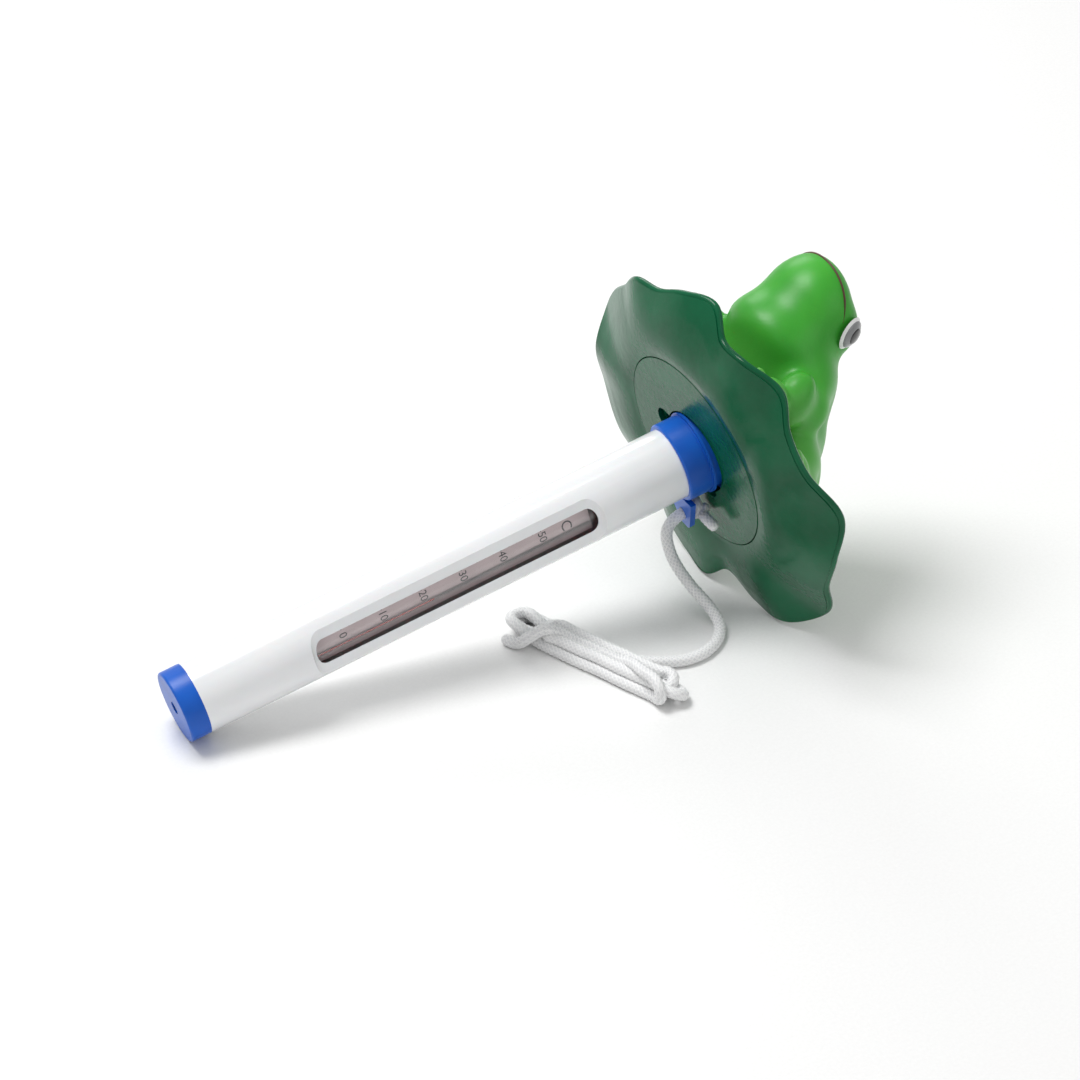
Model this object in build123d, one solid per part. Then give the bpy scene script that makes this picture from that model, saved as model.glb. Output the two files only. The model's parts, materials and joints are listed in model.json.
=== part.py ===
"""Floating pool thermometer: a water thermometer in a plastic tube that hangs under a frog on a lily pad.

Everything is built upright first, in the stick frame: +Z runs up the tube from the end face of the bottom
cap, +X is the way the frog looks, and +Y is the frog's left.  The float (pad, disc, frog) leans a little on
the collar, so it has a frame of its own.  At the end the whole thing is laid on its side on the plane Z = 0,
resting on the bottom cap and on the lowest lobes of the pad.  Units are millimetres.
"""

from build123d import *

import os
from math import cos, pi, radians, sin, tan

# ---- tube and bottom cap
TUBE_R = 12.5  # outer radius of the tube, and of the cap that sits flush with it
TUBE_WALL = 2.2
TUBE_TOP = 210.0
CAP_HEAD = 7.3  # length of the cap that shows under the tube
CAP_FLOOR = 2.4
CAP_SPIGOT = 9.0  # length of the cap's spigot inside the tube
CAP_SPIGOT_WALL = 1.2
CAP_EDGE = 0.8
INLET_R = 2.3  # water inlet in the cap
SLIP = 0.05  # radial clearance of a push fit or a running fit
BORE_R = TUBE_R - TUBE_WALL

# ---- window: a milled flat that breaks through into the bore
WINDOW_LOW = 45.9
WINDOW_LENGTH = 110.3
WINDOW_DEPTH = 3.3  # how deep the flat is milled
WINDOW_RUNOUT = 6.0  # radius of the run-out at each end of the flat
WINDOW_DIRECTION = 83.0  # degrees from +X towards +Y
WINDOW_FLAT = TUBE_R - WINDOW_DEPTH

# ---- collar: heights are above its lower rim
COLLAR_GRIP = 23.3  # length of the tube inside the collar
COLLAR_WALL = 1.5
COLLAR_CHAMFER = 0.5
SHOULDER_UP = 7.7  # where the outer sleeve ends
LIP_UP = 8.6
LIP_THICK = 0.9
LIP_PROUD = 0.7  # how far the lip stands past the sleeve
NECK_WALL = 1.1
SNAP_UP = 13.9
SNAP_THICK = 1.2
SNAP_PROUD = 2.6  # how far the flange that holds the disc stands past the neck
COLLAR_ROOF = 3.0
COLLAR_LOW = TUBE_TOP - COLLAR_GRIP
COLLAR_R = TUBE_R + COLLAR_WALL
LIP_R = COLLAR_R + LIP_PROUD
NECK_R = TUBE_R + NECK_WALL  # neck and boss, on which the float turns
SNAP_R = NECK_R + SNAP_PROUD
BOSS_TOP = TUBE_TOP + COLLAR_ROOF

# ---- eyelet tab, on the -X side of the collar
TAB_THICK = 2.0
TAB_REACH = 13.0  # how far the tab reaches past the collar
TAB_TIP_HALF = 3.0
TAB_ROOT_HALF = 9.5
TAB_CORNER = 2.4
EYE_FROM_TIP = 5.2
EYE_R = 2.3
TAB_TIP = COLLAR_R + TAB_REACH
EYE_AT = TAB_TIP - EYE_FROM_TIP

# ---- glass thermometer
BUSH_WALL = 1.5  # ring that holds the glass in the tube's bore
BUSH_LENGTH = 6.0
BUSH_LOW_AT = 26.0
BUSH_HIGH_AT = 166.0
BUSH_NOTCH_R = 0.9
GLASS_WALL = 0.8
GLASS_ABOVE_SPIGOT = 1.2
GLASS_TOP = 180.0
GLASS_ROUND = 4.0
GLASS_R = BORE_R - BUSH_WALL
GLASS_IN_R = GLASS_R - GLASS_WALL
GLASS_LOW = CAP_HEAD + CAP_SPIGOT + GLASS_ABOVE_SPIGOT
STOPPER_LENGTH = 7.0
STOPPER_HEAD = 1.5
CARD_LOW = 42.5
CARD_HIGH = 152.5
CARD_DEPTH = 2.6  # how far the card's face lies behind the glass
CARD_THICK = 0.6
CARD_GAP = 0.3  # room between the card's corners and the glass
CARD_FRONT = GLASS_IN_R - CARD_DEPTH
CARD_BACK = CARD_FRONT - CARD_THICK
CARD_HALF = (GLASS_IN_R**2 - CARD_FRONT**2) ** 0.5 - CARD_GAP
STEM_R = 0.8
STEM_BORE_R = 0.36
STEM_TOP = 158.0
STEM_GAP = 0.05
STEM_SIDE = 2.6  # the stem lies this far to the side of the figures
STEM_OUT = CARD_FRONT + STEM_GAP + STEM_R
BULB_R = 2.9
BULB_WALL = 0.5
BULB_LENGTH = 20.0
BULB_ABOVE_GLASS = 2.5
BULB_LOW = GLASS_LOW + BULB_ABOVE_GLASS
BULB_HIGH = BULB_LOW + BULB_LENGTH
END_ROUND = GLASS_ROUND - GLASS_WALL  # inside radius of the envelope's round end, which the bulb's foot touches
END_DROP = END_ROUND + GLASS_WALL - BULB_ABOVE_GLASS
BULB_REACH = GLASS_IN_R - END_ROUND + (END_ROUND**2 - END_DROP**2) ** 0.5 - BULB_R
THREAD_GAP = 0.06  # radial room round the liquid in the stem
THREAD_R = STEM_BORE_R - THREAD_GAP
SCALE_ZERO = 59.8  # height of the 0 degree mark
SCALE_STEP = 1.5  # millimetres for each degree
READING = 22.0  # degrees Celsius at rest

# ---- float: leans about +X, so that its +Y edge stands higher
DISC_UP = 9.6  # height of the base disc's outer face on the tube's axis, above the collar's rim
FLOAT_LEAN = 5.5
DISC_R = 35.5
DISC_THICK = 2.0
HOLE_GAP = 0.7  # radial room between the lip and the disc's hole
NOTCHES = ((-74.0, 6.1, 4.6), (160.0, 2.2, 3.2))  # direction, reach past the hole, half width of each notch
PAD_SEAT = 1.6  # land of the pad around the disc
PAD_CENTRE_TOP = 12.5
PAD_NECK_R = 30.0  # flat top of the pad under the frog
PAD_CAVITY_TOP = 7.0
DISC_LOW = COLLAR_LOW + DISC_UP
HOLE_R = LIP_R + HOLE_GAP
# Rim of the leaf, one row for each crest, trough or bend: direction, radius, height.
RIM = (
    (0, 62.5, 9.5), (12, 63.5, 13.0), (22, 58.5, 8.5), (33, 62.5, 8.0), (47, 64.0, 12.5),
    (59, 62.0, 8.5), (73, 63.0, 8.2), (90, 66.5, 14.0), (105, 66.0, 9.8), (121, 64.8, 9.0),
    (138, 69.5, 11.3), (151, 67.0, 3.0), (164, 60.0, 1.8), (175, 50.5, 0.5), (187, 57.3, -2.8),
    (200, 60.0, -1.0), (214, 61.0, 1.0), (230, 60.0, 4.5), (248, 61.5, 2.0), (266, 63.0, 3.4),
    (283, 61.5, 2.4), (297, 64.5, 9.8), (319, 60.5, 8.2), (335, 62.5, 6.5), (348, 60.0, 6.8),
)
# Cross-section of the leaf: share of the way from seat to rim, share of the rim's height, height added.
LEAF_SECTION = ((0.55, 0.30, -1.4), (0.985, 0.97, -1.0), (1.0, 1.0, 0.0), (0.985, 1.0, 1.0), (0.60, 0.60, 5.0))

# ---- foam core that fills the float's neck and turns on the collar's boss
CORE_WALL = 5.9
CORE_ABOVE_SNAP = 2.0  # room over the snap flange, because the core leans with the float
CORE_LENGTH = 18.6
CORE_R = NECK_R + CORE_WALL
CORE_LOW = SNAP_UP + SNAP_THICK - DISC_UP + CORE_ABOVE_SNAP
CORE_TOP = CORE_LOW + CORE_LENGTH
CORE_GAP = 1.0  # room above the boss

# ---- frog, in the float's frame: centre, half width, half length, lean about +Y and the way its length runs
FROG_MIDDLE = (
    ((-6, 0, 31.0), 26.0, 16.5, 4, "Z"), ((7, 0, 34), 22.5, 22.5, 0, "Z"), ((19, 0, 44), 17.5, 17.5, 0, "Z"),
    ((25, 0, 58), 20.5, 11.0, -12, "Z"),
)
FROG_LEFT = (
    ((22, 13.5, 65), 6.6, 6.6, 0, "Z"), ((17, 22, 37), 8.5, 12.0, 20, "Z"), ((17, 31, 31), 7.8, 8.6, 12, "Z"),
    ((26, 30, 26), 6.0, 12.0, 30, "Z"), ((34, 29, 17.4), 9.2, 3.6, -4, "Z"), ((-8, 29, 26.5), 10.5, 17.0, -8, "X"),
    ((4, 36, 26.5), 8.0, 9.2, 14, "Z"), ((-7, 38, 20), 6.0, 14.0, 4, "X"), ((12, 41, 16.2), 10.5, 3.4, -3, "Z"),
)
FROG_BORE_TOP = 34.0
FORM_ROUND = 0.92  # edge radius of a bar or disc, as a share of its half width or half height
FROG_BASE_R = 25.0  # round foot of the frog that is glued to the pad

# ---- cord, in the laid frame
CORD_D = 3.8
CORD_FLOOR = CORD_D / 2 + 0.02
CORD_BEND = 0.45  # share of the shorter of two runs that a bend takes up
KNOT_HALF = 3.4
KNOT_SINK = 0.9  # how far the knot's lower side is flattened on the tab
KNOT_TALL = 4.6
TAIL_D = 3.4
TAIL_LENGTH = 10.0
TAIL_UP = 1.9  # height of the tail's middle above the tab
TAIL_TURN = -78.0  # degrees from straight down the tab, towards +Y
EXIT_RUN = 9.0  # straight run of the cord through the eyelet
CORD_ROUTE = (
    (52.3, -3.5, 22.0), (56.5, -10.0, 12.5), (62.3, -17.5, 4.6), (61.0, -26.5, CORD_FLOOR),
    (52.5, -34.5, CORD_FLOOR), (42.5, -37.0, CORD_FLOOR), (33.0, -33.5, CORD_FLOOR), (24.0, -28.0, CORD_FLOOR),
)
HANK_CENTRE = (16.4, -23.9)
HANK_LENGTH = 76.0
HANK_WIDTH = 17.0
HANK_HEIGHT = 8.4
HANK_ROUND = 3.2
HANK_CORNER = 7.1
HANK_TURN = -65.0

# ---- search for the turn at which the cap and the pad rest on the ground together, degrees
LAY_LEAST = 5.0
LAY_MOST = 25.0
LAY_CLOSE = 0.0005
LAY_STEPS = 40


def rod(radius, low, high):
    return Pos(0, 0, (low + high) / 2) * Cylinder(radius, high - low)


def pipe(outer, inner, low, high):
    return rod(outer, low, high) - rod(inner, low, high)


def window_frame(height=0.0):
    """Location at a height on the tube's axis, whose +X points out of the window."""
    return Pos(0, 0, height) * Rot(0, 0, WINDOW_DIRECTION)


def stem_frame():
    return window_frame() * Pos(STEM_OUT, STEM_SIDE, 0)


def bulb_frame():
    """The bulb's axis: nearer to the tube's axis than the stem's, in the same direction from it."""
    share = BULB_REACH / (STEM_OUT**2 + STEM_SIDE**2) ** 0.5
    return window_frame() * Pos(STEM_OUT * share, STEM_SIDE * share, 0)


def tube():
    body = pipe(TUBE_R, BORE_R, CAP_HEAD, TUBE_TOP)
    deep = 2 * WINDOW_RUNOUT
    cutter = Box(deep, 2 * TUBE_R, WINDOW_LENGTH)
    inner_edges = cutter.edges().filter_by(Axis.Y).sort_by(Axis.X)[:2]
    cutter = fillet(inner_edges, WINDOW_RUNOUT - SLIP)
    return body - window_frame(WINDOW_LOW + WINDOW_LENGTH / 2) * Pos(WINDOW_FLAT + deep / 2, 0, 0) * cutter


def bottom_cap():
    head = rod(TUBE_R, 0, CAP_HEAD)
    head = fillet(head.edges().sort_by(Axis.Z)[0], CAP_EDGE)
    spigot_r = BORE_R - SLIP
    body = head + rod(spigot_r, CAP_HEAD, CAP_HEAD + CAP_SPIGOT)
    body -= rod(spigot_r - CAP_SPIGOT_WALL, CAP_FLOOR, CAP_HEAD + CAP_SPIGOT)
    return body - rod(INLET_R, 0, CAP_FLOOR)


def collar():
    body = rod(COLLAR_R, COLLAR_LOW, COLLAR_LOW + SHOULDER_UP)
    body = chamfer(body.edges().sort_by(Axis.Z)[0], COLLAR_CHAMFER)
    body += tab()
    body += rod(NECK_R, COLLAR_LOW + SHOULDER_UP, BOSS_TOP)
    body += rod(LIP_R, COLLAR_LOW + LIP_UP, COLLAR_LOW + LIP_UP + LIP_THICK)
    body += rod(SNAP_R, COLLAR_LOW + SNAP_UP, COLLAR_LOW + SNAP_UP + SNAP_THICK)
    return body - rod(TUBE_R, COLLAR_LOW, TUBE_TOP)


def tab():
    """Tapered eyelet tab, square to the tube, on the -X side."""
    root = -(TUBE_R + COLLAR_R) / 2
    corners = [(root, -TAB_ROOT_HALF), (-TAB_TIP, -TAB_TIP_HALF), (-TAB_TIP, TAB_TIP_HALF), (root, TAB_ROOT_HALF)]
    outline = Polyline(*corners, close=True)
    plate = Pos(0, 0, COLLAR_LOW) * extrude(make_face(outline), TAB_THICK)
    tips = plate.edges().filter_by(Axis.Z).sort_by(Axis.X)[:2]
    plate = fillet(tips, TAB_CORNER)
    plate -= rod(TUBE_R, COLLAR_LOW, COLLAR_LOW + TAB_THICK)
    return plate - Pos(-EYE_AT, 0, 0) * rod(EYE_R, COLLAR_LOW, COLLAR_LOW + TAB_THICK)


def glass_envelope():
    body = rod(GLASS_R, GLASS_LOW, GLASS_TOP)
    body = fillet(body.edges().sort_by(Axis.Z)[0], GLASS_ROUND)
    inside = rod(GLASS_IN_R, GLASS_LOW + GLASS_WALL, GLASS_TOP)
    inside = fillet(inside.edges().sort_by(Axis.Z)[0], GLASS_ROUND - GLASS_WALL)
    return body - inside


def envelope_stopper():
    plug = rod(GLASS_IN_R, GLASS_TOP - STOPPER_LENGTH, GLASS_TOP)
    return plug + rod(GLASS_R, GLASS_TOP, GLASS_TOP + STOPPER_HEAD)


def scale_card():
    length = CARD_HIGH - CARD_LOW
    plate = Box(CARD_THICK, 2 * CARD_HALF, length)
    return window_frame(CARD_LOW + length / 2) * Pos((CARD_FRONT + CARD_BACK) / 2, 0, 0) * plate


def capillary():
    """Glass stem and bulb in one piece."""
    stem = stem_frame() * rod(STEM_R, BULB_HIGH - BULB_WALL, STEM_TOP)
    body = stem + bulb_frame() * rod(BULB_R, BULB_LOW, BULB_HIGH)
    inner_r = BULB_R - BULB_WALL
    body -= bulb_frame() * rod(inner_r, BULB_LOW + BULB_WALL, BULB_HIGH - BULB_WALL)
    return body - stem_frame() * rod(STEM_BORE_R, BULB_HIGH - BULB_WALL, STEM_TOP - 2 * STEM_R)


def bulb_liquid():
    return bulb_frame() * rod(BULB_R - BULB_WALL, BULB_LOW + BULB_WALL, BULB_HIGH - BULB_WALL)


def thread_low():
    return BULB_HIGH - BULB_WALL + SLIP


def liquid_thread():
    return stem_frame() * rod(THREAD_R, thread_low(), SCALE_ZERO + READING * SCALE_STEP)


def bush(low):
    """Soft ring that centres the glass in the tube, with notches that let water past."""
    body = pipe(BORE_R, GLASS_R, low, low + BUSH_LENGTH)
    for turn in range(45, 360, 90):
        body -= Rot(0, 0, turn) * Pos(BORE_R, 0, 0) * rod(BUSH_NOTCH_R, low, low + BUSH_LENGTH)
    return body


def float_frame():
    return Pos(0, 0, DISC_LOW) * Rot(FLOAT_LEAN, 0, 0)


def base_disc():
    body = pipe(DISC_R, HOLE_R, 0, DISC_THICK)
    for turn, reach, half in NOTCHES:
        length = HOLE_R + reach - half
        notch = Pos(length / 2, 0, DISC_THICK / 2) * Box(length, 2 * half, DISC_THICK)
        notch += Pos(length, 0, 0) * rod(half, 0, DISC_THICK)
        body -= Rot(0, 0, turn) * notch
    return float_frame() * body


def ring(share, lift, add):
    """Closed curve round the leaf, a share of the way from the seat to the rim."""
    seat = DISC_R + PAD_SEAT
    points = []
    for turn, radius, height in RIM:
        out = seat + share * (radius - seat)
        points.append(Vector(out * cos(radians(turn)), out * sin(radians(turn)), lift * height + add))
    return Wire([Spline(*points, periodic=True)])


def lily_pad():
    seat = Wire([Edge.make_circle(DISC_R + PAD_SEAT)])
    neck = Wire([Edge.make_circle(PAD_NECK_R, Plane.XY.offset(PAD_CENTRE_TOP))])
    body = Solid.make_loft([seat, *(ring(*row) for row in LEAF_SECTION), neck], ruled=True)
    body -= rod(DISC_R, -DISC_THICK, DISC_THICK)
    body -= rod(DISC_R - PAD_SEAT, DISC_THICK, PAD_CAVITY_TOP)
    body -= rod(CORE_R, PAD_CAVITY_TOP, PAD_CENTRE_TOP)
    return float_frame() * body


def form(centre, wide, tall, lean, along):
    """Rounded form: a ball, or a round bar or disc with its ends well rounded."""
    if wide == tall:
        return Pos(*centre) * Sphere(wide)
    bar = Cylinder(wide, 2 * tall)
    solid = fillet(bar.edges().filter_by(GeomType.CIRCLE), FORM_ROUND * min(wide, tall))
    turn = Rot(0, 90, 0) if along == "X" else Rot(0, 0, 0)
    return Pos(*centre) * Rot(0, lean, 0) * turn * solid


def frog():
    """Frog with its limbs, bored out round the foam core."""
    body = rod(FROG_BASE_R, PAD_CENTRE_TOP, CORE_TOP)
    for middle in FROG_MIDDLE:
        body += form(*middle)
    for (x, y, z), *shape in FROG_LEFT:
        body += form((x, y, z), *shape)
        body += form((x, -y, z), *shape)
    return float_frame() * (body - rod(CORE_R, 0, FROG_BORE_TOP))


def foam_core():
    body = float_frame() * rod(CORE_R, CORE_LOW, CORE_TOP)
    return body - rod(NECK_R + SLIP, COLLAR_LOW, BOSS_TOP + CORE_GAP)


def lay_plane(turn):
    """Plane that lays the upright model down, the tube rising by the turn towards +X."""
    along = (cos(radians(turn)), 0, sin(radians(turn)))
    up = (-sin(radians(turn)), 0, cos(radians(turn)))
    return Plane((0, 0, 0), x_dir=up, z_dir=along)


def lowest(shape, turn):
    return (lay_plane(turn).location * shape).bounding_box().min.Z


def lay_turn(cap, pad):
    """Turn at which the cap and the pad touch the ground together."""
    low, high = LAY_LEAST, LAY_MOST
    for _ in range(LAY_STEPS):
        middle = (low + high) / 2
        if lowest(cap, middle) < lowest(pad, middle):
            high = middle
        else:
            low = middle
        if high - low < LAY_CLOSE:
            break
    return (low + high) / 2


def cord_points(start, along):
    """The cord's corners: through the eyelet, down to the ground and into the hank."""
    return [start, start + along * EXIT_RUN] + [Vector(*point) for point in CORD_ROUTE]


def bend_radii(points):
    radii = []
    for before, here, after in zip(points, points[1:], points[2:]):
        half_turn = radians((here - before).get_angle(after - here)) / 2
        shorter = min((here - before).length, (after - here).length)
        radii.append(CORD_BEND * shorter / tan(half_turn))
    return radii


def cord_lead(start, along):
    points = cord_points(start, along)
    radii = bend_radii(points)
    route = FilletPolyline(*points, radius=radii)
    section = Plane(points[0], z_dir=points[1] - points[0]) * Circle(CORD_D / 2)
    body = sweep(section, path=route)
    print("cord bends, radius in mm:", [round(radius, 1) for radius in radii])
    print("cord lead length", round(route.length, 1), "volume", round(body.volume, 1),
          "section x length", round(pi * (CORD_D / 2) ** 2 * route.length, 1))
    return body


def cord_hank():
    """Outer shape of the folded hank."""
    body = Box(HANK_LENGTH, HANK_WIDTH, HANK_HEIGHT)
    body = fillet(body.edges().filter_by(Axis.Z), HANK_CORNER)
    body = fillet(body.edges().group_by(Axis.Z)[-1] + body.edges().group_by(Axis.Z)[0], HANK_ROUND)
    return Pos(*HANK_CENTRE, HANK_HEIGHT / 2) * Rot(0, 0, HANK_TURN) * body


def stopper_knot():
    """Knot on the pad side of the eyelet, flat where it bears on the tab, with the cord's short tail."""
    face = COLLAR_LOW + TAB_THICK
    ball = Pos(-EYE_AT, 0, face + KNOT_TALL - KNOT_HALF + KNOT_SINK) * Sphere(KNOT_HALF)
    keep = Pos(-EYE_AT, 0, 0) * rod(2 * KNOT_HALF, face, face + KNOT_TALL)
    tail = Pos(-TAIL_LENGTH / 2, 0, 0) * Rot(0, 90, 0) * Cylinder(TAIL_D / 2, TAIL_LENGTH)
    tail = Pos(-EYE_AT, 0, face + TAIL_UP) * Rot(0, 0, TAIL_TURN) * tail
    return (ball & keep) + tail


def save(solids):
    os.makedirs("parts", exist_ok=True)
    for name, solid in solids.items():
        solid.label = name
        export_step(solid, f"parts/{name}.step")
        box = solid.bounding_box()
        print(name, "solids", len(solid.solids()), "volume", round(solid.volume, 2),
              "low", [round(v, 2) for v in box.min], "high", [round(v, 2) for v in box.max])


upright = {
    "tube": tube(),
    "bottom_cap": bottom_cap(),
    "collar": collar(),
    "glass_envelope": glass_envelope(),
    "envelope_stopper": envelope_stopper(),
    "scale_card": scale_card(),
    "capillary": capillary(),
    "bulb_liquid": bulb_liquid(),
    "liquid_thread": liquid_thread(),
    "lower_bush": bush(BUSH_LOW_AT),
    "upper_bush": bush(BUSH_HIGH_AT),
    "base_disc": base_disc(),
    "lily_pad": lily_pad(),
    "foam_core": foam_core(),
    "frog": frog(),
    "stopper_knot": stopper_knot(),
}
turn = lay_turn(upright["bottom_cap"], upright["lily_pad"])
lay = lay_plane(turn).location
laid = {name: lay * solid for name, solid in upright.items()}
boxes = [solid.bounding_box() for name, solid in laid.items() if name != "stopper_knot"]
low = Vector(*(min(tuple(box.min)[axis] for box in boxes) for axis in range(3)))
high = Vector(*(max(tuple(box.max)[axis] for box in boxes) for axis in range(3)))
shift = Pos(-(low.X + high.X) / 2, -(low.Y + high.Y) / 2, -low.Z)
laid = {name: shift * solid for name, solid in laid.items()}
place = shift * lay
axis_point = (place * Pos(0, 0, 0)).position
eye_top = (place * Pos(-EYE_AT, 0, COLLAR_LOW + TAB_THICK)).position
down_tube = (axis_point - (place * Pos(0, 0, 1)).position).normalized()
print("lay turn", round(turn, 4), "shift", shift.position, "cap centre", axis_point, "knot face", eye_top)
print("tube axis", -down_tube, "whole size", high - low)
print("cap face, off the inlet", (place * Pos(TUBE_R / 2, 0, 0)).position)
print("middle of the inlet", (place * Pos(0, 0, CAP_FLOOR / 2)).position)
laid["cord_hank"] = cord_hank()
laid["cord_lead"] = cord_lead(eye_top, down_tube) - laid["cord_hank"]
save(laid)
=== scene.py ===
import json
import math

import bpy
import numpy as np
from mathutils import Matrix, Vector


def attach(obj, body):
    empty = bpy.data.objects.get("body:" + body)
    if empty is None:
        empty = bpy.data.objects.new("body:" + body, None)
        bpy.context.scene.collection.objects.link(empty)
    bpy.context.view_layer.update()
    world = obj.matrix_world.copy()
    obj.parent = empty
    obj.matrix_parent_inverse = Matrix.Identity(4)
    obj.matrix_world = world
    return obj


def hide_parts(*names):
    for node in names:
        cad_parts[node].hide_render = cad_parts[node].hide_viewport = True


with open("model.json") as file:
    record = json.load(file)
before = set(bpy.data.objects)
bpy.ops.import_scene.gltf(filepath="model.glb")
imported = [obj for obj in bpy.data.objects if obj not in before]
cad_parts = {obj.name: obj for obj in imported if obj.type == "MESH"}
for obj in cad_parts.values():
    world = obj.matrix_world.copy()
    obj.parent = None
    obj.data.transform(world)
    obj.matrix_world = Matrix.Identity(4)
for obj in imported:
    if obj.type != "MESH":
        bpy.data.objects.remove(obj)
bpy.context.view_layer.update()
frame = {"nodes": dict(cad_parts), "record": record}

MM = 0.001
joints = {joint["name"]: joint for joint in frame["record"]["behaviour"]["joints"]}
nodes = frame["nodes"]

# ---- frames of the stick (tube upright) and of the leaning float, in metres
AXIS = Vector(joints["float_turn"]["axis"]).normalized()
CAP = Vector(joints["float_turn"]["pos_m"])
STICK_X = Vector((-AXIS.z, 0, AXIS.x))
STICK = Matrix.Translation(CAP) @ Matrix((STICK_X, (0, -1, 0), AXIS)).transposed().to_4x4()
DISC_LOW, LEAN = 0.1963, 5.5
FLOAT = STICK @ Matrix.Translation((0, 0, DISC_LOW)) @ Matrix.Rotation(math.radians(LEAN), 4, "X")
WINDOW = STICK @ Matrix.Rotation(math.radians(83.0), 4, "Z")


def transform(points, matrix):
    """Points in millimetres in a frame, as metres in the row's frame."""
    m = np.array(matrix)
    return np.asarray(points, float) * MM @ m[:3, :3].T + m[:3, 3]


def new_object(name, points, faces, material, body, smooth=True, angle=None):
    mesh = bpy.data.meshes.new(name)
    mesh.from_pydata([tuple(p) for p in points], [], [tuple(int(i) for i in f) for f in faces])
    mesh.validate()
    mesh.update()
    obj = bpy.data.objects.new(name, mesh)
    bpy.context.scene.collection.objects.link(obj)
    mesh.materials.append(material)
    if smooth:
        mesh.shade_smooth()
    if angle:
        mesh.set_sharp_from_angle(angle=math.radians(angle))
    if body:
        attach(obj, body)
    return obj


# ---- camera
def add_camera():
    azimuth, elevation = math.radians(-26.4), math.radians(33.4)
    back = Vector((math.sin(azimuth) * math.cos(elevation), -math.cos(azimuth) * math.cos(elevation),
                   math.sin(elevation)))
    target = Vector((0.0059, 0.0011, 0.0385))
    data = bpy.data.cameras.new("camera")
    data.sensor_fit = "HORIZONTAL"
    data.sensor_width = 36
    data.lens = 150
    camera = bpy.data.objects.new("camera", data)
    bpy.context.scene.collection.objects.link(camera)
    camera.location = target + back * 1.5
    camera.rotation_euler = (target - camera.location).to_track_quat("-Z", "Y").to_euler()
    bpy.context.scene.camera = camera


add_camera()


# ---- materials
class Nodes:
    """Short way to write a node material."""

    def __init__(self, name):
        self.material = bpy.data.materials.new(name)
        self.material.use_nodes = True
        self.tree = self.material.node_tree
        self.shader = self.tree.nodes["Principled BSDF"]
        self.place = self.add("ShaderNodeTexCoord").outputs["Object"]

    def add(self, kind, **settings):
        node = self.tree.nodes.new(kind)
        for key, value in settings.items():
            if hasattr(node, key):
                setattr(node, key, value)
            else:
                node.inputs[key].default_value = value
        return node

    def link(self, a, b):
        self.tree.links.new(a, b)

    def mapped(self, matrix=None, stretch=(1, 1, 1)):
        """Coordinates in millimetres in a frame, stretched."""
        back = (matrix or Matrix.Identity(4)).inverted()
        mapping = self.add("ShaderNodeMapping", vector_type="POINT")
        turn = back.to_euler()
        mapping.inputs["Rotation"].default_value = turn
        mapping.inputs["Location"].default_value = back.to_translation()
        self.link(self.place, mapping.inputs["Vector"])
        scale = self.add("ShaderNodeVectorMath", operation="MULTIPLY")
        scale.inputs[1].default_value = tuple(1000 * s for s in stretch)
        self.link(mapping.outputs["Vector"], scale.inputs[0])
        return scale.outputs["Vector"]

    def noise(self, vector, scale, detail=3.0, roughness=0.5):
        node = self.add("ShaderNodeTexNoise")
        node.inputs["Scale"].default_value = scale
        node.inputs["Detail"].default_value = detail
        node.inputs["Roughness"].default_value = roughness
        self.link(vector, node.inputs["Vector"])
        return node.outputs["Fac"]

    def ramp(self, fac, stops):
        node = self.add("ShaderNodeValToRGB")
        elements = node.color_ramp.elements
        while len(elements) < len(stops):
            elements.new(0.5)
        for element, (where, colour) in zip(elements, stops):
            element.position = where
            element.color = (*colour, 1) if len(colour) == 3 else colour
        self.link(fac, node.inputs["Fac"])
        return node.outputs["Color"]

    def range(self, fac, low, high, start=0.0, end=1.0):
        node = self.add("ShaderNodeMapRange")
        for key, value in (("From Min", start), ("From Max", end), ("To Min", low), ("To Max", high)):
            node.inputs[key].default_value = value
        self.link(fac, node.inputs["Value"])
        return node.outputs["Result"]

    def mix(self, fac, a, b, blend="MIX"):
        node = self.add("ShaderNodeMix", data_type="RGBA", blend_type=blend)
        for source, socket in ((fac, node.inputs[0]), (a, node.inputs[6]), (b, node.inputs[7])):
            if isinstance(source, bpy.types.NodeSocket):
                self.link(source, socket)
            elif isinstance(source, (int, float)):
                socket.default_value = source
            else:
                socket.default_value = (*source, 1)
        return node.outputs[2]

    def bump(self, height, strength, distance, normal=None):
        node = self.add("ShaderNodeBump")
        node.inputs["Strength"].default_value = strength
        node.inputs["Distance"].default_value = distance
        self.link(height, node.inputs["Height"])
        if normal:
            self.link(normal, node.inputs["Normal"])
        return node.outputs["Normal"]

    def set(self, **values):
        names = {"color": "Base Color", "roughness": "Roughness", "normal": "Normal", "coat": "Coat Weight",
                 "coat_roughness": "Coat Roughness", "specular": "Specular IOR Level",
                 "sheen": "Sheen Weight", "sheen_roughness": "Sheen Roughness",
                 "sss": "Subsurface Weight", "sss_scale": "Subsurface Scale",
                 "sss_radius": "Subsurface Radius", "ior": "IOR", "metallic": "Metallic", "alpha": "Alpha",
                 "transmission": "Transmission Weight"}
        for key, value in values.items():
            socket = self.shader.inputs[names[key]]
            if isinstance(value, bpy.types.NodeSocket):
                self.link(value, socket)
            elif isinstance(value, tuple) and key == "color":
                socket.default_value = (*value, 1)
            else:
                socket.default_value = value
        return self.material


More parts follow.
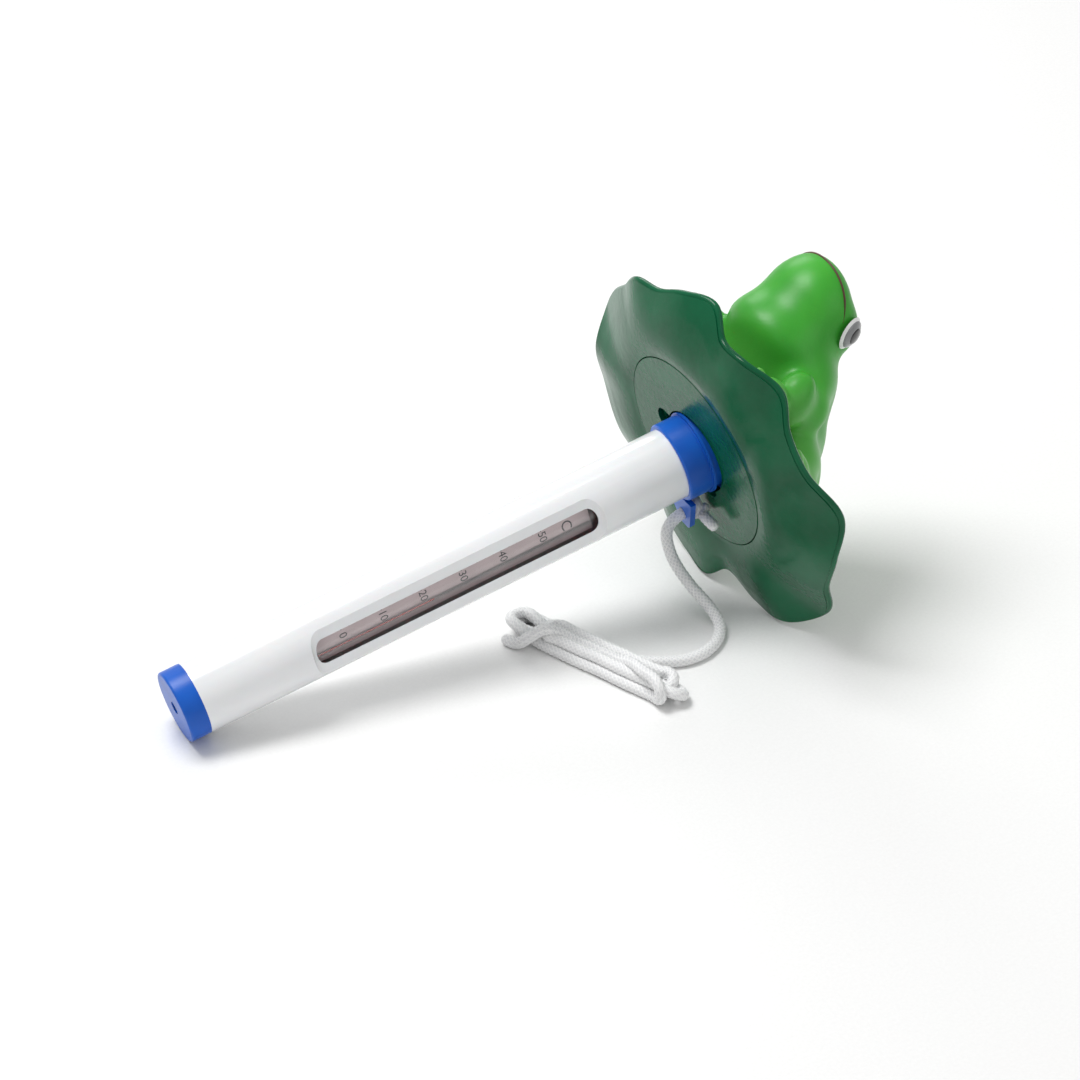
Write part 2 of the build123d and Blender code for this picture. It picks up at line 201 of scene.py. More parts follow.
def white_plastic():
    n = Nodes("white_tube_plastic")
    along = n.mapped(STICK, (1, 1, 0.03))
    fine = n.noise(along, 1.6, 4)
    cloud = n.noise(n.mapped(STICK), 0.03, 3)
    color = n.mix(n.range(cloud, 0, 1, 0.3, 0.7), (0.80, 0.81, 0.83), (0.86, 0.865, 0.87))
    return n.set(color=color, roughness=n.range(fine, 0.12, 0.22), normal=n.bump(fine, 0.12, 0.00006),
                 specular=0.5, coat=0.3, coat_roughness=0.08, sss=0.08, sss_scale=0.003)


def blue_plastic():
    n = Nodes("blue_moulded_plastic")
    fine = n.noise(n.mapped(), 3.0, 5, 0.6)
    cloud = n.noise(n.mapped(), 0.08, 2)
    color = n.mix(n.range(cloud, 0, 1, 0.3, 0.7), (0.004, 0.085, 0.46), (0.008, 0.115, 0.56))
    return n.set(color=color, roughness=n.range(fine, 0.24, 0.40), normal=n.bump(fine, 0.18, 0.00005),
                 specular=0.3, sss=0.05, sss_scale=0.002)


def pad_vinyl(name, rings=False):
    n = Nodes(name)
    place = n.mapped(FLOAT)
    cloud = n.noise(place, 0.05, 4)
    streak = n.noise(n.mapped(FLOAT, (0.5, 0.5, 0.2)), 0.6, 3)
    fine = n.noise(place, 1.6, 5, 0.6)
    color = n.mix(n.range(cloud, 0, 1, 0.35, 0.65), (0.002, 0.078, 0.030), (0.005, 0.112, 0.046))
    normal = n.bump(fine, 0.22, 0.00008)
    normal = n.bump(streak, 0.25, 0.0004, normal)
    if rings:
        wave = n.add("ShaderNodeTexWave", wave_type="RINGS", rings_direction="Z")
        wave.inputs["Scale"].default_value = 0.11
        wave.inputs["Distortion"].default_value = 0.25
        wave.inputs["Detail"].default_value = 2
        n.link(place, wave.inputs["Vector"])
        normal = n.bump(wave.outputs["Fac"], 0.08, 0.0001, normal)
    return n.set(color=color, roughness=n.range(fine, 0.12, 0.26), normal=normal, specular=0.22)


def frog_vinyl():
    n = Nodes("frog_green_vinyl")
    place = n.mapped(FLOAT)
    cloud = n.noise(place, 0.045, 4)
    fine = n.noise(place, 1.3, 5, 0.6)
    parts = n.add("ShaderNodeSeparateXYZ")
    n.link(place, parts.inputs["Vector"])
    color = n.mix(n.range(cloud, 0, 1, 0.3, 0.7), (0.030, 0.300, 0.020), (0.052, 0.385, 0.030))
    pale = n.range(parts.outputs["Z"], 0.55, 0.0, 12.0, 34.0)
    color = n.mix(pale, color, (0.16, 0.47, 0.10))
    return n.set(color=color, roughness=n.range(fine, 0.30, 0.44), normal=n.bump(fine, 0.2, 0.00008),
                 specular=0.35, sss=0.10, sss_scale=0.004)


def plain(name, a, b, roughness, bump=0.15, scale=1.5, depth=0.00006, **more):
    n = Nodes(name)
    fine = n.noise(n.mapped(), scale, 4, 0.6)
    cloud = n.noise(n.mapped(), 0.12, 3)
    color = n.mix(n.range(cloud, 0, 1, 0.3, 0.7), a, b)
    return n.set(color=color, roughness=n.range(fine, *roughness), normal=n.bump(fine, bump, depth), **more)


def glass():
    n = Nodes("clear_glass")
    smear = n.noise(n.mapped(STICK, (1, 1, 0.2)), 0.4, 3)
    n.set(color=(0.95, 0.96, 0.96), roughness=n.range(smear, 0.01, 0.07), metallic=1.0, alpha=0.06)
    return n.material


def cord_nylon():
    n = Nodes("white_braided_nylon")
    fine = n.noise(n.mapped(), 5.0, 4, 0.65)
    cloud = n.noise(n.mapped(), 0.12, 3)
    color = n.mix(n.range(cloud, 0, 1, 0.3, 0.7), (0.88, 0.88, 0.88), (0.94, 0.94, 0.935))
    # painted shade: the hollows between the braid's strands (low pointiness) are darkened to blue-grey
    crease_shade = n.add("ShaderNodeNewGeometry").outputs["Pointiness"]
    color = n.mix(n.range(crease_shade, 0.0, 1.0, 0.44, 0.52), (0.50, 0.51, 0.54), color)
    return n.set(color=color, roughness=n.range(fine, 0.45, 0.65), normal=n.bump(fine, 0.35, 0.00008),
                 sheen=0.2, sheen_roughness=0.4)


WHITE = white_plastic()
BLUE = blue_plastic()
PAD = pad_vinyl("leaf_green_vinyl")
DISC = pad_vinyl("disc_green_vinyl", rings=True)
FROG = frog_vinyl()
CORD = cord_nylon()
GLASS = glass()
CARD = plain("scale_card_satin", (0.60, 0.49, 0.50), (0.66, 0.54, 0.55), (0.38, 0.5))
INK = plain("scale_ink", (0.02, 0.018, 0.02), (0.05, 0.045, 0.05), (0.4, 0.6))
RUBBER = plain("grey_rubber", (0.35, 0.34, 0.33), (0.45, 0.44, 0.42), (0.6, 0.75))
RED = plain("red_spirit", (0.45, 0.015, 0.015), (0.55, 0.03, 0.02), (0.15, 0.25))
FOAM = plain("cell_foam", (0.62, 0.62, 0.58), (0.72, 0.71, 0.67), (0.8, 0.95), bump=0.5, scale=0.9,
             depth=0.0003)
EYE_WHITE = plain("eye_white_paint", (0.78, 0.78, 0.77), (0.84, 0.84, 0.83), (0.15, 0.25), coat=0.5,
                  coat_roughness=0.05)
EYE_GREY = plain("eye_grey_paint", (0.16, 0.165, 0.17), (0.24, 0.245, 0.25), (0.2, 0.3), coat=0.5,
                 coat_roughness=0.05)
EYE_BLACK = plain("eye_black_paint", (0.008, 0.008, 0.009), (0.02, 0.02, 0.02), (0.12, 0.2), coat=0.5,
                  coat_roughness=0.05)
MOUTH = plain("mouth_brown_paint", (0.055, 0.018, 0.010), (0.10, 0.035, 0.02), (0.4, 0.55))

for name, material in (
    ("tube", WHITE), ("bottom_cap", BLUE), ("collar", BLUE), ("glass_envelope", GLASS), ("capillary", GLASS),
    ("envelope_stopper", RUBBER), ("scale_card", CARD), ("bulb_liquid", RED), ("liquid_thread", RED),
    ("lower_bush", RUBBER), ("upper_bush", RUBBER), ("base_disc", DISC), ("foam_core", FOAM),
):
    mesh = nodes[name].data
    mesh.materials.clear()
    mesh.materials.append(material)

# ---- cord: lead down from the eyelet, into the hank from behind, and seven runs back and forth along it
CORD_D = 3.8
REST = CORD_D / 2 + 0.02
LOW, TOP = REST, 5.25  # heights of the hank's two layers, nearer than a diameter: strands overlap
FOLD_R = 3.9  # radius the folds are drawn with; the smoothed route is as tight as 3.2 in places
HANK = Matrix.Translation((0.0164, -0.0239, 0)) @ Matrix.Rotation(math.radians(-65.5), 4, "Z")
LEAD = [(61.61, 1.05, 34.20), (52.85, 1.05, 32.13), (52.3, -3.5, 22.0), (56.5, -10.0, 12.5),
        (62.3, -17.5, 4.6), (61.0, -26.5, REST), (52.5, -34.5, REST), (42.5, -37.0, REST),
        (33.0, -33.5, REST)]


def hank(along, across, height):
    return tuple(HANK @ Vector((along * MM, across * MM, height * MM)))


def run(start, end, across, height):
    """Control points of one nearly straight run of the hank."""
    count = 6
    points = []
    for k in range(count):
        share = k / (count - 1)
        sway = 0.25 * math.sin(2.4 * k + across)
        points.append(hank(start + (end - start) * share, across + sway, height + abs(sway) * 0.5))
    return points


def fold(start, end, centre, lift=0.0, shift=0.0):
    """Control points of a fold between two places (across, height), round a centre along the hank."""
    start, end = Vector(start), Vector(end)
    middle = (start + end) / 2
    unit = (end - start).normalized()
    radius = max((end - start).length / 2, FOLD_R) / math.cos(math.radians(22.5))
    points = []
    for turn in (-90, -45, 0, 45, 90):
        out, side = math.cos(math.radians(turn)), math.sin(math.radians(turn))
        across, height = middle + unit * radius * side
        height = max(height + lift * out, REST)
        points.append(hank(centre + math.copysign(radius * out, centre), across + shift * out, height))
    return points


def cord_route():
    points = [tuple(v * MM for v in p) for p in LEAD]
    points += [hank(8.5, 6.6, LOW)]
    points += run(1, -29, 5.3, LOW)
    points += fold((5.3, LOW), (-1.8, LOW), -32.0)
    points += run(-29, 22, -1.8, LOW)
    points += fold((-1.8, LOW), (3.5, TOP), 25.0, lift=1.0)
    points += run(22, -16, 3.5, TOP)
    points += fold((3.5, TOP), (-3.5, TOP), -19.0)
    points += run(-16, 27, -3.5, TOP)
    points += fold((-3.5, TOP), (1.8, LOW), 30.5)
    points += run(27, -24, 1.8, LOW)
    points += fold((1.8, LOW + 3.9), (-5.3, LOW + 3.9), -32.5)
    points += run(-24, 23, -5.3, LOW)
    points += fold((-5.3, LOW), (-6.0, LOW + 7.8), 27.0, shift=-2.0)
    points += [hank(21, -4.6, 9.3), hank(15, -1.6, 8.2)]
    points += run(8, -11, 0.0, TOP)
    points += [hank(-17, -1.6, 7.4), hank(-20.5, -5.0, 8.8), hank(-23.5, -8.8, 6.2), hank(-26.5, -10.4, 2.8),
               hank(-30, -10.8, LOW), hank(-34, -10.2, LOW)]
    return points


def nurbs_points(points, name):
    """Points along a smooth curve with these control points."""
    data = bpy.data.curves.new(name, "CURVE")
    data.dimensions = "3D"
    data.resolution_u = 24
    spline = data.splines.new("NURBS")
    spline.points.add(len(points) - 1)
    for target, point in zip(spline.points, points):
        target.co = (*point, 1)
    spline.order_u = 3
    spline.use_endpoint_u = True
    curve = bpy.data.objects.new(name, data)
    bpy.context.scene.collection.objects.link(curve)
    bpy.context.view_layer.update()
    mesh = bpy.data.meshes.new_from_object(curve.evaluated_get(bpy.context.evaluated_depsgraph_get()))
    line = np.array([v.co[:] for v in mesh.vertices])
    bpy.data.objects.remove(curve)
    bpy.data.curves.remove(data)
    bpy.data.meshes.remove(mesh)
    return line


def resample(line, step):
    gaps = np.linalg.norm(np.diff(line, axis=0), axis=1)
    keep = np.concatenate([[True], gaps > 1e-9])
    line = line[keep]
    reach = np.concatenate([[0], np.cumsum(np.linalg.norm(np.diff(line, axis=0), axis=1))])
    count = max(3, int(reach[-1] / step) + 1)
    at = np.linspace(0, reach[-1], count)
    return np.column_stack([np.interp(at, reach, line[:, k]) for k in range(3)]), at


def tube_frames(line):
    tangent = np.gradient(line, axis=0)
    tangent /= np.linalg.norm(tangent, axis=1)[:, None]
    side = np.cross(tangent[0], (0.3, 0.2, 1.0))
    sides = []
    for t in tangent:
        side = side - np.dot(side, t) * t
        side /= np.linalg.norm(side)
        sides.append(side)
    sides = np.array(sides)
    return tangent, sides, np.cross(tangent, sides)


def braid(turn, along, radius, strands=8, pitch=0.0036, relief=0.00032):
    """Radius of a braided cord: two sets of strands that pass over and under each other."""
    u = turn / (2 * math.pi) * strands + along / pitch * 2
    v = turn / (2 * math.pi) * strands - along / pitch * 2
    over = (np.floor(u) + np.floor(v)) % 2 == 0
    a = np.abs(np.sin(math.pi * u)) ** 0.6
    b = np.abs(np.sin(math.pi * v)) ** 0.6
    return radius + relief * 1.6 * (np.where(over, a * (0.55 + 0.45 * b), b * (0.55 + 0.45 * a)) - 0.6)


def braided_tube(name, line, radius, body, ends=(0.0, 0.0), step=0.0003, around=32):
    """Mesh of a braided cord; ends are how much each end narrows, as a share of the radius."""
    line, along = resample(line, step)
    for _ in range(2):
        line[1:-1] = 0.25 * line[:-2] + 0.5 * line[1:-1] + 0.25 * line[2:]
    _, side, up = tube_frames(line)
    turn = np.linspace(0, 2 * math.pi, around, endpoint=False)
    r = braid(turn[None, :], along[:, None], radius)
    total = along[-1]
    for share, far in ((ends[0], along), (ends[1], total - along)):
        if share:
            near = np.clip(far / radius, 0, 1)
            r = r * (1 - share + share * np.sqrt(np.clip(1 - (1 - near) ** 2, 0, 1)))[:, None]
    points = line[:, None, :] + r[..., None] * (np.cos(turn)[None, :, None] * side[:, None, :]
                                              + np.sin(turn)[None, :, None] * up[:, None, :])
    points = points.reshape(-1, 3)
    points[:, 2] = np.maximum(points[:, 2], 0.00003)
    n = len(line)
    i, k = np.meshgrid(np.arange(n - 1), np.arange(around), indexing="ij")
    nxt = (k + 1) % around
    faces = np.stack([i * around + k, i * around + nxt, (i + 1) * around + nxt, (i + 1) * around + k], -1)
    faces = [tuple(f) for f in faces.reshape(-1, 4)]
    faces.append(tuple(range(around - 1, -1, -1)))
    faces.append(tuple((n - 1) * around + j for j in range(around)))
    return new_object(name, points, faces, CORD, body), line


route = nurbs_points(cord_route(), "cord_line")
cord, cord_path = braided_tube("tether_cord", route, CORD_D / 2 * MM, "stick", ends=(0.0, 0.55))
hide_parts("cord_lead", "cord_hank")

KNOT_FACE = 188.7
EYE_AT = 21.8


def knot_route():
    """An overhand knot drawn tight on the eyelet, then its short tail."""
    turns = []
    for k in range(15):
        a = k / 14 * 2 * math.pi * 1.25
        turns.append((-EYE_AT - 2.3 * math.cos(a), 2.3 * math.sin(a), KNOT_FACE + 2.1 + 0.24 * k))
    tail = [(-EYE_AT - 1.0, 3.6, KNOT_FACE + 3.4), (-EYE_AT - 1.6, 6.4, KNOT_FACE + 3.6),
            (-EYE_AT - 2.4, 8.8, KNOT_FACE + 4.0), (-EYE_AT - 3.4, 11.2, KNOT_FACE + 4.6)]
    return [tuple(p) for p in transform(turns + tail, STICK)]


knot, _ = braided_tube("stopper_knot_braid", nurbs_points(knot_route(), "knot_line"), 1.8 * MM, "stick",
                       ends=(0.4, 0.6), step=0.00025)
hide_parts("stopper_knot")

# ---- leaf
RIM = (
    (0, 62.5, 9.5), (12, 63.5, 13.0), (22, 58.5, 8.5), (33, 62.5, 8.0), (47, 64.0, 12.5),
    (59, 62.0, 8.5), (73, 63.0, 8.2), (90, 66.5, 14.0), (105, 66.0, 9.8), (121, 64.8, 9.0),
    (138, 69.5, 11.3), (151, 67.0, 3.0), (164, 60.0, 1.8), (175, 50.5, 0.5), (187, 57.3, -2.8),
    (200, 60.0, -1.0), (214, 61.0, 1.0), (230, 60.0, 4.5), (248, 61.5, 2.0), (266, 63.0, 3.4),
    (283, 61.5, 2.4), (297, 64.5, 9.8), (319, 60.5, 8.2), (335, 62.5, 6.5), (348, 60.0, 6.8),
)
SEAT_R = 37.1
DISC_R = 35.5


def around_rim(turn):
    """Radius and height of the rim at a direction in degrees, through the rim's points."""
    rows = np.array(RIM, float)
    count = len(rows)
    extended = np.vstack([rows[-2:] - (360, 0, 0), rows, rows[:3] + (360, 0, 0)])
    where = np.searchsorted(extended[:, 0], turn, side="right") - 1
    where = np.clip(where, 1, count + 2)
    p0, p1, p2, p3 = (extended[where + k] for k in (-1, 0, 1, 2))
    t = ((turn - p1[:, 0]) / (p2[:, 0] - p1[:, 0]))[:, None]
    m1 = (p2 - p0)[:, 1:] / (p2 - p0)[:, :1] * (p2 - p1)[:, :1]
    m2 = (p3 - p1)[:, 1:] / (p3 - p1)[:, :1] * (p2 - p1)[:, :1]
    a, b = p1[:, 1:], p2[:, 1:]
    value = ((2 * t**3 - 3 * t**2 + 1) * a + (t**3 - 2 * t**2 + t) * m1 + (-2 * t**3 + 3 * t**2) * b
             + (t**3 - t**2) * m2)
    return value[:, 0], value[:, 1]


def leaf():
    count = 480
    turn = np.arange(count) * 360 / count
    radius, height = around_rim(turn)
    c, s = np.cos(np.radians(turn)), np.sin(np.radians(turn))
    rings = []

    def add(r, z):
        r = np.broadcast_to(r, turn.shape)
        z = np.broadcast_to(z, turn.shape)
        rings.append(np.column_stack([r * c, r * s, z]))

    add(DISC_R + 0.15, 1.9)
    add(DISC_R + 0.15, 0.5)
    add(DISC_R + 0.45, 0.08)
    for u in np.linspace(0, 0.975, 26):
        reach = SEAT_R + u * (radius - SEAT_R)
        under = -1.4 * (1 - (1 - min(u / 0.5, 1)) ** 2) + 0.5 * max(0, (u - 0.7) / 0.3)
        add(reach, height * u**1.45 + under)
    for a in np.linspace(-70, 80, 8):
        add(radius - 1.3 + 1.3 * math.cos(math.radians(a)), height + 0.2 + 1.25 * math.sin(math.radians(a)))
    for u in np.linspace(0.96, 0.0, 22):
        reach = 30.0 + u * (radius - 30.0)
        level = 12.4 * (1 - u) ** 0.9 + (height + 1.4) * u**1.6 + 2.2 * u * (1 - u)
        spoke = np.abs(((turn + 7.5) % 30) - 15) * math.pi / 180 * reach
        fork = np.abs(((turn + 7.5 + 30 * (1 - u) * 0.35) % 30) - 15) * math.pi / 180 * reach
        vein = 0.7 * np.exp(-(spoke / 0.9) ** 2) + 0.35 * np.exp(-(fork / 0.7) ** 2) * (u > 0.3)
        add(reach, level + vein * min(1, 4 * (1 - u)) * min(1, 6 * u + 0.3))
    add(19.6, 12.45)
    add(19.6, 2.1)
    points = transform(np.vstack(rings), FLOAT)
    total = len(rings)
    faces = []
    for i in range(total):
        j = (i + 1) % total
        for k in range(count):
            m = (k + 1) % count
            faces.append((i * count + k, i * count + m, j * count + m, j * count + k))
    obj = new_object("lily_leaf", points, faces, PAD, "float", angle=50)
    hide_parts("lily_pad")
    return obj


leaf()

# ---- frog, sculpted as smoothly joined ellipsoids in the float's frame: centre, half sizes, turns, blend
FROG_FORMS = (
    ((-7, 0, 26), (24, 24, 15), (0, 8, 0), 6),
    ((5, 0, 31), (24, 24.5, 15.5), (0, 10, 0), 8),
    ((20, 0, 40.5), (22.5, 22.5, 13.5), (0, 20, 0), 9),
    ((31, 0, 50), (16.5, 17, 12), (0, -30, 0), 8),
    ((29, 0, 56.5), (17.5, 16.5, 8.5), (0, -18, 0), 7),
    ((5, 0, 39.5), (13, 14, 9.5), (0, 24, 0), 8),
)
FROG_PAIRS = (
    ((26, 11, 57), (8, 6.5, 6.5), (0, -10, 0), 4),
    ((15, 19, 34), (8.5, 8.5, 10.5), (20, 18, 0), 7),
    ((13, 25.5, 30), (7, 7.5, 8), (0, 0, 0), 5),
    ((23, 29, 25), (6.5, 6.5, 10.5), (8, 32, 0), 6),
    ((31, 31, 17), (6.5, 6, 5), (0, 0, 0), 4),
    ((36, 26.5, 14), (6.5, 2.6, 2.4), (0, 0, -18), 2.2),
    ((38, 31.5, 14), (7, 2.7, 2.4), (0, 0, 4), 2.2),
    ((35, 37, 13.5), (6, 2.6, 2.4), (0, 0, 26), 2.2),
    ((-9, 24, 21), (18, 10, 10), (0, -12, 12), 6),
    ((2, 32, 19), (9, 7, 7.5), (0, 20, 0), 6),
    ((-6, 38, 16), (14, 6, 6), (0, 8, 0), 4),
    ((8, 42, 14), (8, 5.5, 4), (0, 0, 10), 3.5),
    ((17, 37.5, 12.5), (7.5, 2.8, 2.3), (0, 0, -14), 2.2),
    ((19, 43, 12), (8, 2.9, 2.3), (0, 0, 4), 2.2),
    ((16, 48.5, 11.5), (7, 2.8, 2.3), (0, 0, 22), 2.2),
)


def rotation(angles):
    return np.array(Matrix.Rotation(math.radians(angles[2]), 3, "Z")
                    @ Matrix.Rotation(math.radians(angles[1]), 3, "Y")
                    @ Matrix.Rotation(math.radians(angles[0]), 3, "X"))


def ellipsoid(p, centre, half, angles):
    local = (p - np.array(centre)) @ rotation(angles)
    half = np.array(half)
    k0 = np.linalg.norm(local / half, axis=-1)
    k1 = np.linalg.norm(local / half**2, axis=-1)
    return k0 * (k0 - 1) / np.maximum(k1, 1e-6)


def join(a, b, k):
    h = np.clip(0.5 + 0.5 * (b - a) / k, 0, 1)
    return b * (1 - h) + a * h - k * h * (1 - h)


def frog_field(p):
    mirrored = p.copy()
    mirrored[..., 1] = np.abs(mirrored[..., 1])
    field = None
    for centre, half, angles, k in FROG_FORMS:
        d = ellipsoid(p, centre, half, angles)
        field = d if field is None else join(field, d, k)
    for centre, half, angles, k in FROG_PAIRS:
        field = join(field, ellipsoid(mirrored, centre, half, angles), k)
    return field


def surface_nets(field, low, step):
    """Quads round the zero level of a sampled field, with points in the field's own frame."""
    shape = np.array(field.shape)
    inside = field < 0
    cells = shape - 1
    total = np.zeros((*cells, 3))
    count = np.zeros(cells)
    corners = [(i, j, k) for i in (0, 1) for j in (0, 1) for k in (0, 1)]
    part = {c: field[c[0]:c[0] + cells[0], c[1]:c[1] + cells[1], c[2]:c[2] + cells[2]] for c in corners}
    for a in corners:
        for axis in range(3):
            if a[axis]:
                continue
            b = list(a)
            b[axis] = 1
            fa, fb = part[a], part[tuple(b)]
            cross = (fa < 0) != (fb < 0)
            t = np.where(cross, fa / np.where(cross, fa - fb, 1), 0)
            for dim in range(3):
                value = a[dim] + (t if dim == axis else 0)
                total[..., dim] += np.where(cross, value, 0)
            count += cross
    used = count > 0
    index = -np.ones(cells, int)
    index[used] = np.arange(used.sum())
    where = np.argwhere(used)
    points = low + (where + total[used] / count[used][:, None]) * step
    faces = []
    for axis in range(3):
        u, v = (axis + 1) % 3, (axis + 2) % 3
        first = [slice(None)] * 3
        second = [slice(None)] * 3
        first[axis], second[axis] = slice(0, -1), slice(1, None)
        a, b = inside[tuple(first)], inside[tuple(second)]
        edges = np.argwhere(a != b)
        edges = edges[(edges[:, u] > 0) & (edges[:, v] > 0) & (edges[:, u] < cells[u])
                      & (edges[:, v] < cells[v])]
        flip = a[tuple(edges.T)]
        quad = []
        for du, dv in ((1, 1), (0, 1), (0, 0), (1, 0)):
            e = edges.copy()
            e[:, u] -= du
            e[:, v] -= dv
            quad.append(index[tuple(e.T)])
        quad = np.stack(quad, 1)
        quad[~flip] = quad[~flip][:, ::-1]
        faces.append(quad)
    return points, np.vstack(faces)


def frog():
    step = 0.85
    low, high = np.array((-38.0, -58.0, 6.0)), np.array((52.0, 58.0, 80.0))
    axes = [np.arange(a, b, step) for a, b in zip(low, high)]
    grid = np.stack(np.meshgrid(*axes, indexing="ij"), -1)
    field = frog_field(grid)
    points, faces = surface_nets(field, low, step)
    obj = new_object("frog_body", transform(points, FLOAT), faces, FROG, "float")
    smooth = obj.modifiers.new("smooth", "SMOOTH")
    smooth.factor = 0.5
    smooth.iterations = 4
    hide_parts("frog")
    return obj


frog()


def on_frog(start, direction, reach=40.0):
    """Point where a ray from inside the frog comes out of it."""
    start, direction = np.array(start, float), np.array(direction, float)
    direction /= np.linalg.norm(direction)
    a, b = 0.0, reach
    for _ in range(40):
        middle = (a + b) / 2
        if frog_field((start + direction * middle)[None, :])[0] < 0:
            a = middle
        else:
            b = middle
    return start + direction * a


MOUTH_TOP, MOUTH_DROP = 62.6, 7.2  # heights in the float, mm
MOUTH_HALF_TURN = 82  # degrees


def frog_mouth():
    """Painted line of the mouth, round the muzzle from corner to corner."""
    points = []
    for turn in np.linspace(-MOUTH_HALF_TURN, MOUTH_HALF_TURN, 61):
        height = MOUTH_TOP - MOUTH_DROP * abs(turn / MOUTH_HALF_TURN) ** 2.5
        points.append(on_frog((29, 0, height),
                              (math.cos(math.radians(turn)), math.sin(math.radians(turn)), 0)))
    line = transform(points, FLOAT)
    _, side, up = tube_frames(line)
    taper = np.clip(np.minimum(np.arange(61), 60 - np.arange(61)) / 8, 0.15, 1)
    turn = np.linspace(0, 2 * math.pi, 10, endpoint=False)
    r = 0.42 * MM * taper
    ring = line[:, None, :] + r[:, None, None] * (np.cos(turn)[None, :, None] * side[:, None, :]
                                                + np.sin(turn)[None, :, None] * up[:, None, :])
    faces = [(i * 10 + k, i * 10 + (k + 1) % 10, (i + 1) * 10 + (k + 1) % 10, (i + 1) * 10 + k)
             for i in range(60) for k in range(10)]
    obj = new_object("frog_mouth_line", ring.reshape(-1, 3), faces, MOUTH, "float")


frog_mouth()


def dome(name, centre, direction, radius, low, high, rise, material):
    """Ring-shaped patch of an eyeball between two angles from its gaze."""
    direction = Vector(direction).normalized()
    side = direction.orthogonal().normalized()
    up = direction.cross(side)
    rings, around = 14, 48
    points, faces = [], []
    for i in range(rings + 1):
        a = math.radians(low + (high - low) * i / rings)
        edge = math.sin(math.pi * min(1, max(0, (high - math.degrees(a)) / 4)) / 2) if rise else 1
        r = radius + rise * edge
        for k in range(around):
            b = 2 * math.pi * k / around
            out = direction * math.cos(a) + (side * math.cos(b) + up * math.sin(b)) * math.sin(a)
            points.append(tuple(Vector(centre) + out * r))
    for i in range(rings):
        for k in range(around):
            m = (k + 1) % around
            faces.append((i * around + k, (i + 1) * around + k, (i + 1) * around + m, i * around + m))
    obj = new_object(name, transform(points, FLOAT), faces, material, "float")
    return obj


for word, sign in (("left", 1), ("right", -1)):
    gaze = (-0.30, sign * 0.90, 0.30)
    centre = on_frog((29.3, sign * 8.0, 54.2), gaze) - np.array(gaze) * 6.4
    dome(f"eye_{word}_white", centre, gaze, 8.2, 0.5, 47, 0.0, EYE_WHITE)
    dome(f"eye_{word}_iris", centre, gaze, 8.2, 0.5, 38, 0.2, EYE_GREY)
    dome(f"eye_{word}_pupil", centre, gaze, 8.4, 0.5, 21, 0.2, EYE_BLACK)

# ---- printed scale on the card
CARD_FRONT = 5.4
ZERO_AT, STEP = 59.8, 1.5


def on_card(text_right, text_up, lift=0.0):
    """Point on the card: right and up as the figures read."""
    return (CARD_FRONT + lift, text_right, text_up)


TICK_START, TICK_LONG, TICK_SHORT = -2.5, -1.95, -2.1  # across the card, both ends of a degree mark


def scale_ticks():
    points, faces = [], []
    for degree in range(0, 52, 2):
        z = ZERO_AT + degree * STEP
        long = degree % 10 == 0
        half = 0.16 if long else 0.10
        a, b = TICK_START, (TICK_LONG if long else TICK_SHORT)
        n = len(points)
        for lift in (0.0, 0.04):
            for y, up in ((a, z - half), (b, z - half), (b, z + half), (a, z + half)):
                points.append(on_card(y, up, lift))
        faces += [(n + 4, n + 5, n + 6, n + 7), (n, n + 1, n + 5, n + 4), (n + 1, n + 2, n + 6, n + 5),
                  (n + 2, n + 3, n + 7, n + 6), (n + 3, n, n + 4, n + 7), (n + 3, n + 2, n + 1, n)]
    obj = new_object("scale_ticks", transform(points, WINDOW), faces, INK, "stick", smooth=False)


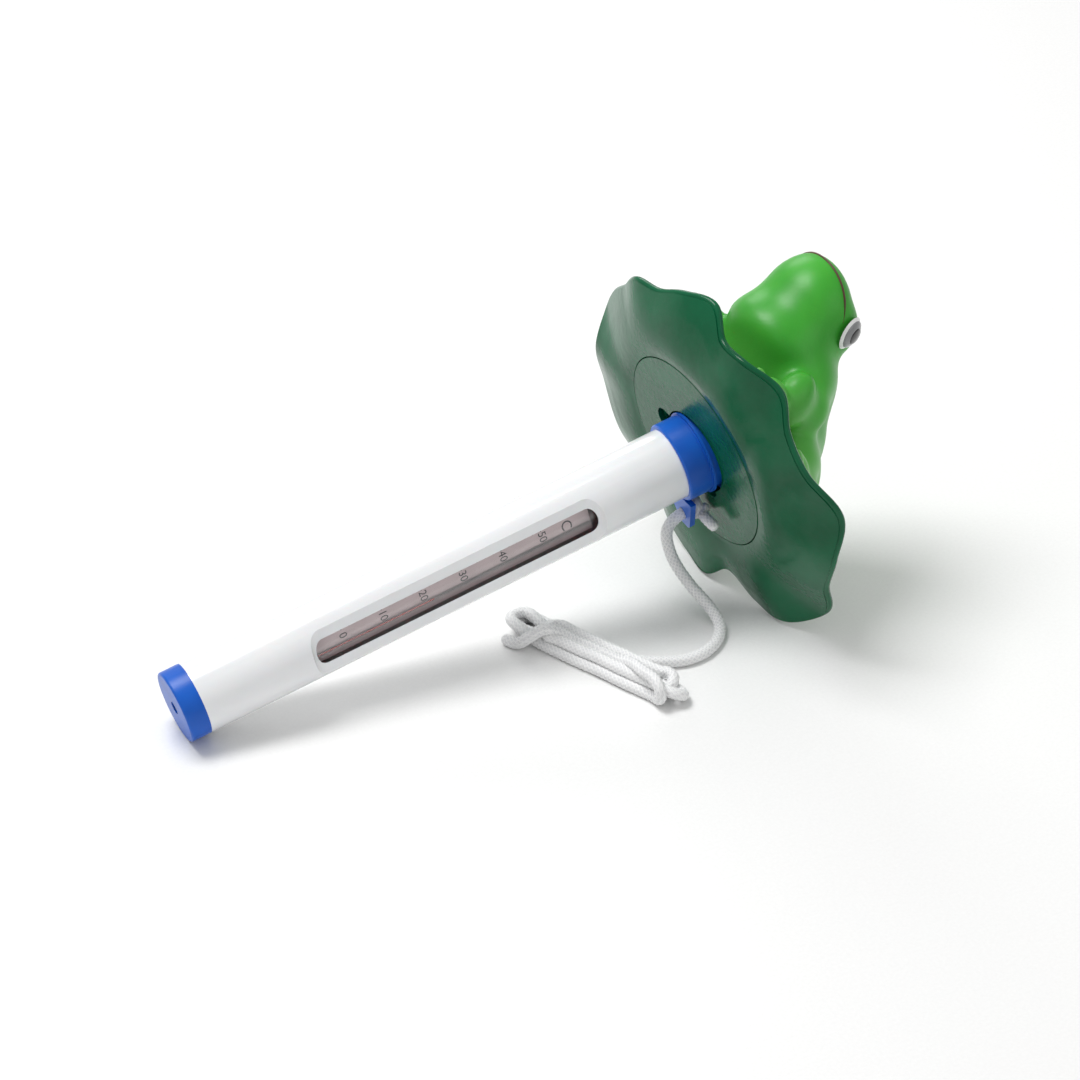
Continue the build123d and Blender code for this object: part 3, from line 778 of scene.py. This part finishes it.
def scale_figure(text, degree, size, name):
    data = bpy.data.curves.new(name, "FONT")
    data.body = text
    data.size = size * MM
    data.extrude = 0.00002
    data.align_x = "CENTER"
    data.align_y = "CENTER"
    data.resolution_u = 6
    obj = bpy.data.objects.new(name, data)
    bpy.context.scene.collection.objects.link(obj)
    local = Matrix(((0, 0, 1), (1, 0, 0), (0, 1, 0))).to_4x4()
    place = Matrix.Translation(Vector((CARD_FRONT + 0.03, 0.2, ZERO_AT + degree * STEP)) * MM)
    obj.matrix_world = WINDOW @ place @ local
    bpy.context.view_layer.update()
    mesh = bpy.data.meshes.new_from_object(obj.evaluated_get(bpy.context.evaluated_depsgraph_get()))
    mesh.transform(obj.matrix_world)
    bpy.data.objects.remove(obj)
    solid = bpy.data.objects.new(name, mesh)
    bpy.context.scene.collection.objects.link(solid)
    mesh.materials.clear()
    mesh.materials.append(INK)
    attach(solid, "stick")


scale_ticks()
for degree in range(0, 60, 10):
    scale_figure(str(degree), degree, 4.0, f"scale_figure_{degree}")
scale_figure("C", 56, 5.4, "scale_unit")


# ---- floor and light
def studio():
    n = Nodes("pale_floor")
    grain = n.noise(n.mapped(), 0.9, 5, 0.6)
    color = n.mix(n.range(grain, 0, 1, 0.3, 0.7), (0.86, 0.86, 0.855), (0.90, 0.90, 0.895))
    material = n.set(color=color, roughness=n.range(grain, 0.5, 0.7), normal=n.bump(grain, 0.2, 0.0002))
    size = 3.0
    floor = new_object("floor", [(-size, -size, 0), (size, -size, 0), (size, size, 0), (-size, size, 0)],
                       [(0, 1, 2, 3)], material, None, smooth=False)
    world = bpy.data.worlds.new("studio")
    bpy.context.scene.world = world
    world.use_nodes = True
    world.node_tree.nodes["Background"].inputs["Color"].default_value = (1, 1, 1, 1)
    world.node_tree.nodes["Background"].inputs["Strength"].default_value = 0.50
    bpy.context.scene.view_settings.view_transform = "Standard"
    for name, place, size, power in (("key", (-0.35, 0.35, 1.25), 0.6, 13),
                                     ("fill", (0.7, -1.1, 0.8), 0.9, 2),
                                     ("back", (0.3, 1.2, 0.7), 0.5, 3)):
        data = bpy.data.lights.new(name, "AREA")
        data.size = size
        data.energy = power
        lamp = bpy.data.objects.new(name, data)
        bpy.context.scene.collection.objects.link(lamp)
        lamp.location = place
        lamp.rotation_euler = (Vector((0, 0, 0.03)) - Vector(place)).to_track_quat("-Z", "Y").to_euler()


studio()
